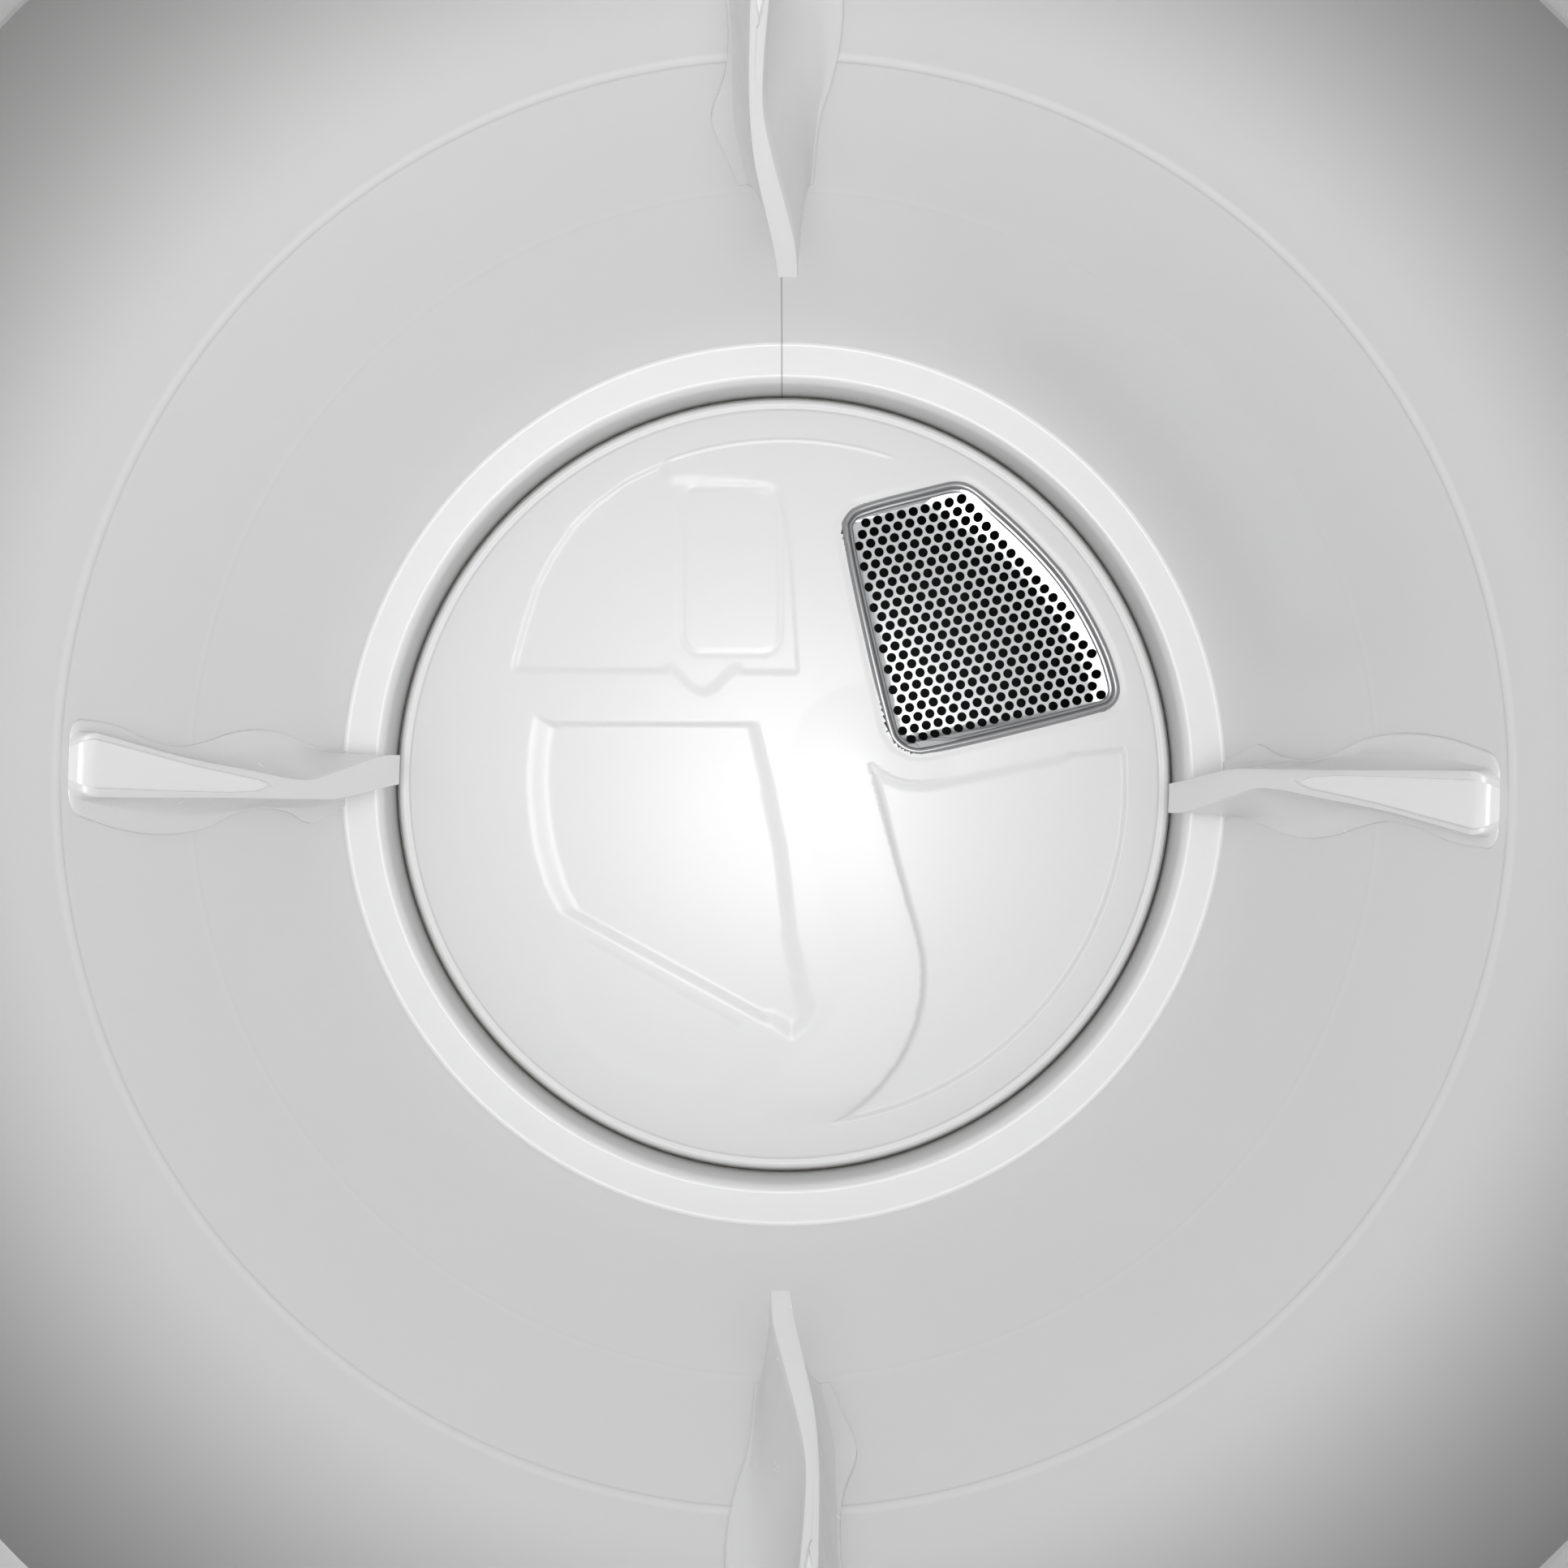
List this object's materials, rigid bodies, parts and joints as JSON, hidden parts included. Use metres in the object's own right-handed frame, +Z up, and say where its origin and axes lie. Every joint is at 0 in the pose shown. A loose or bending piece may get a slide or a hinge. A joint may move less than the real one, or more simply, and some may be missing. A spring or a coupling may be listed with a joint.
{
  "type": "clothes dryer",
  "caption": "Front-loading clothes dryer: steel cabinet, round door, belt-driven drum with baffles, and a stamped rear bulkhead with a perforated air inlet grille.",
  "frame": {"origin": "on the floor, under the middle of the cabinet's footprint", "axes": "+Z up, the front and the door face -Y, +X to the right seen from the front; the drum turns about a line along Y"},
  "size_m": [0.686, 1.314, 0.991],
  "materials": {
    "white_enamel": "gloss white enamel",
    "zinc_steel": "galvanised",
    "grille_steel": "bright perforated sheet",
    "white_plastic": "semi-gloss moulded",
    "grey_plastic": "moulded",
    "knob_finish": "satin plated",
    "felt": "wool felt",
    "rubber": "matt black",
    "element": "oxidised heating alloy",
    "spring_steel": "bright drawn",
    "motor_paint": "satin dark grey",
    "display": "dark glass",
    "board": "circuit board",
    "door_clear": "clear toughened glass",
    "door_tint": "dark tinted"
  },
  "bodies": {
    "cabinet": {"side_panel_left": "white_enamel", "side_panel_right": "white_enamel", "rear_panel": "zinc_steel", "top_panel": "white_enamel", "base_pan": "zinc_steel", "front_panel": "white_enamel", "front_bulkhead": "white_enamel", "front_seal": "felt", "rear_bulkhead": "white_enamel", "rear_seal": "felt", "air_inlet_grille": "grille_steel", "heater_duct": "zinc_steel", "heater_element": "element", "lint_duct": "grey_plastic", "blower_housing": "grey_plastic", "vent_pipe": "zinc_steel", "roller_shafts": "zinc_steel", "motor_housing": "motor_paint", "motor_cradle": "zinc_steel", "drum_belt": "rubber", "idler_bracket": "zinc_steel", "idler_spring": "spring_steel", "hinge_bracket": "zinc_steel", "door_catch": "grey_plastic", "door_switch": "grey_plastic", "control_panel": "white_plastic", "display_window": "display", "control_board": "board", "power_inlet": "grey_plastic", "cabinet_screws": "spring_steel"},
    "drum": {"drum_shell": "white_enamel", "baffle_left": "white_plastic", "baffle_right": "white_plastic", "baffle_top": "white_plastic", "baffle_bottom": "white_plastic"},
    "rotor": {"motor_shaft": "spring_steel", "blower_wheel": "grey_plastic"},
    "idler_arm": {"idler_arm": "zinc_steel"},
    "idler_pulley": {"idler_pulley": "grey_plastic"},
    "front_roller_left": {"front_roller_left": "grey_plastic"},
    "front_roller_right": {"front_roller_right": "grey_plastic"},
    "rear_roller_left": {"rear_roller_left": "grey_plastic"},
    "rear_roller_right": {"rear_roller_right": "grey_plastic"},
    "door": {"door_frame": "white_plastic", "door_liner": "white_plastic", "door_glass": "door_clear", "door_window": "door_tint", "door_seal": "rubber", "door_handle": "knob_finish", "door_strike": "zinc_steel", "door_hinge": "zinc_steel"},
    "door_switch_pin": {"door_switch_pin": "grey_plastic"},
    "cycle_knob": {"cycle_knob": "knob_finish"},
    "power_button": {"power_button": "white_plastic"},
    "start_button": {"start_button": "white_plastic"},
    "lint_filter": {"lint_filter": "grey_plastic"},
    "foot_front_left": {"foot_front_left": "rubber"},
    "foot_rear_left": {"foot_rear_left": "rubber"},
    "foot_front_right": {"foot_front_right": "rubber"},
    "foot_rear_right": {"foot_rear_right": "rubber"}
  },
  "joints": [
    {"name": "drum_spin", "type": "hinge", "parent": "cabinet", "child": "drum", "pos_m": [0, 0, 0.585], "axis": [0, 1, 0], "continuous": true},
    {"name": "rotor_spin", "type": "hinge", "parent": "cabinet", "child": "rotor", "pos_m": [-0.095, 0, 0.135], "axis": [0, 1, 0], "continuous": true},
    {"name": "idler_swing", "type": "hinge", "parent": "cabinet", "child": "idler_arm", "pos_m": [-0.015, 0.03, 0.06], "axis": [0, 1, 0], "range_deg": [0, 12], "stiffness_Nm_per_rad": 4, "springref_deg": -22.92},
    {"name": "idler_spin", "type": "hinge", "parent": "idler_arm", "child": "idler_pulley", "pos_m": [0.005, 0.02, 0.172], "axis": [0, 1, 0], "continuous": true},
    {"name": "front_roller_left_spin", "type": "hinge", "parent": "cabinet", "child": "front_roller_left", "pos_m": [-0.22244, -0.265, 0.30029], "axis": [0, 1, 0], "continuous": true},
    {"name": "front_roller_right_spin", "type": "hinge", "parent": "cabinet", "child": "front_roller_right", "pos_m": [0.22244, -0.265, 0.30029], "axis": [0, 1, 0], "continuous": true},
    {"name": "rear_roller_left_spin", "type": "hinge", "parent": "cabinet", "child": "rear_roller_left", "pos_m": [-0.20705, 0.271, 0.31999], "axis": [0, 1, 0], "continuous": true},
    {"name": "rear_roller_right_spin", "type": "hinge", "parent": "cabinet", "child": "rear_roller_right", "pos_m": [0.20705, 0.271, 0.31999], "axis": [0, 1, 0], "continuous": true},
    {"name": "door_swing", "type": "hinge", "parent": "cabinet", "child": "door", "pos_m": [-0.262, -0.398, 0.585], "axis": [0, 0, -1], "range_deg": [-90, 25]},
    {"name": "door_switch_press", "type": "slide", "parent": "cabinet", "child": "door_switch_pin", "axis": [0, 1, 0], "range_m": [0, 0.002], "stiffness_N_per_m": 150, "springref_m": -0.001},
    {"name": "knob_turn", "type": "hinge", "parent": "cabinet", "child": "cycle_knob", "pos_m": [0, -0.4, 0.9155], "axis": [0, -1, 0], "continuous": true},
    {"name": "power_press", "type": "slide", "parent": "cabinet", "child": "power_button", "axis": [0, 1, 0], "range_m": [0, 0.0022], "stiffness_N_per_m": 300, "springref_m": -0.001},
    {"name": "start_press", "type": "slide", "parent": "cabinet", "child": "start_button", "axis": [0, 1, 0], "range_m": [0, 0.0022], "stiffness_N_per_m": 300, "springref_m": -0.001},
    {"name": "filter_lift", "type": "slide", "parent": "cabinet", "child": "lint_filter", "axis": [0, 0, 1], "range_m": [0, 0.15]},
    {"name": "foot_front_left_adjust", "type": "slide", "parent": "cabinet", "child": "foot_front_left", "axis": [0, 0, 1], "range_m": [-0.02, 0]},
    {"name": "foot_rear_left_adjust", "type": "slide", "parent": "cabinet", "child": "foot_rear_left", "axis": [0, 0, 1], "range_m": [-0.02, 0]},
    {"name": "foot_front_right_adjust", "type": "slide", "parent": "cabinet", "child": "foot_front_right", "axis": [0, 0, 1], "range_m": [-0.02, 0]},
    {"name": "foot_rear_right_adjust", "type": "slide", "parent": "cabinet", "child": "foot_rear_right", "axis": [0, 0, 1], "range_m": [-0.02, 0]}
  ],
  "couplings": [
    {"joint": "rotor_spin", "follows": "drum_spin", "ratio": 30.306},
    {"joint": "idler_spin", "follows": "drum_spin", "ratio": -14.047},
    {"joint": "front_roller_left_spin", "follows": "drum_spin", "ratio": -9.3143},
    {"joint": "front_roller_right_spin", "follows": "drum_spin", "ratio": -9.3143},
    {"joint": "rear_roller_left_spin", "follows": "drum_spin", "ratio": -8.6},
    {"joint": "rear_roller_right_spin", "follows": "drum_spin", "ratio": -8.6}
  ]
}
